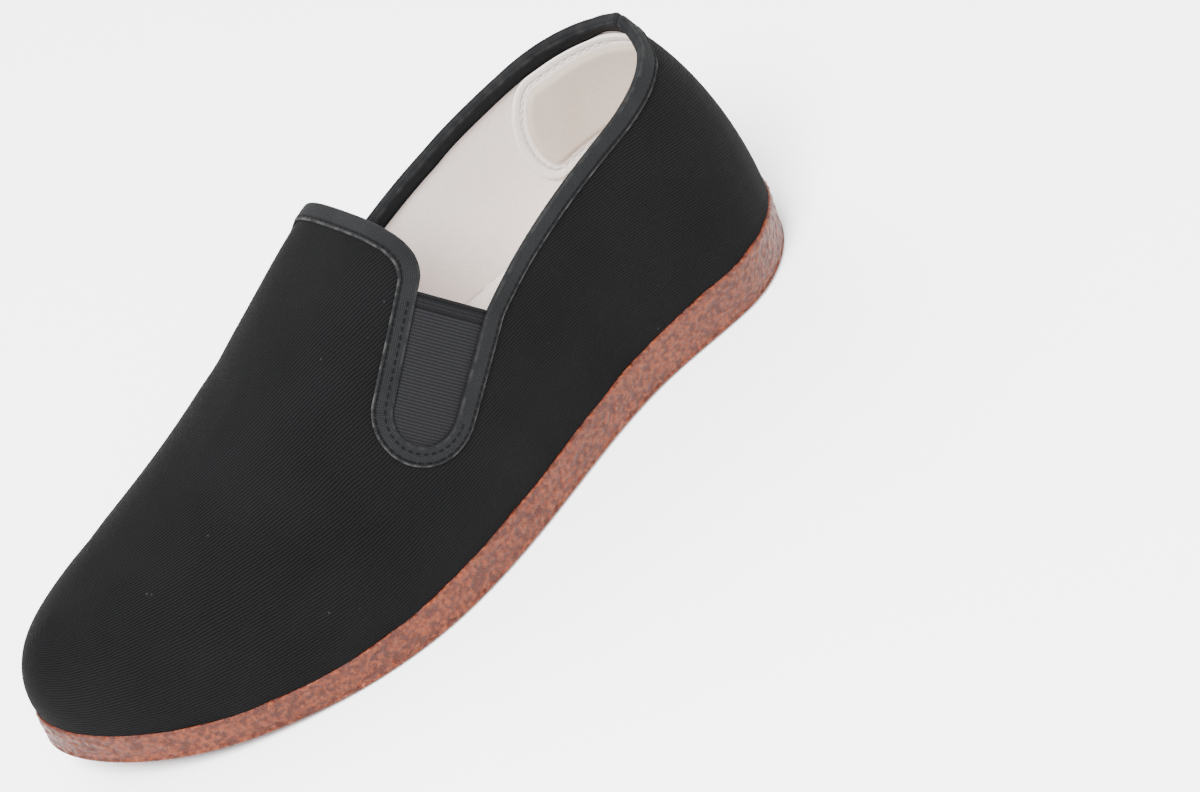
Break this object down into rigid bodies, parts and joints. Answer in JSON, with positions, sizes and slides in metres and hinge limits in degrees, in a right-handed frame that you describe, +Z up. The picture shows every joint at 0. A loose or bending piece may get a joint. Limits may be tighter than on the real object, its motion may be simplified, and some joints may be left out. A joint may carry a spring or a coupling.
{
  "type": "cloth shoe",
  "caption": "Slip-on cloth shoe for the left foot with a thick rubber sole, a tongue tab and an elastic gore on each side of it.",
  "frame": {"origin": "on the floor, under the middle of the shoe's box", "axes": "+X to the toe, +Y to the outer side of the foot, +Z up"},
  "size_m": [0.277, 0.1008, 0.1013],
  "materials": {
    "gum_rubber": "pebbled, soft gloss",
    "twill": "matt cotton twill",
    "binding_tape": "matt woven tape",
    "elastic": "ribbed elastic webbing",
    "lining_cotton": "plain cotton cloth"
  },
  "bodies": {
    "root": {"sole": "gum_rubber", "upper": "twill", "edge_binding": "binding_tape", "gore_outer": "elastic", "gore_inner": "elastic", "heel_patch": "lining_cotton", "insole": "lining_cotton"}
  },
  "joints": []
}
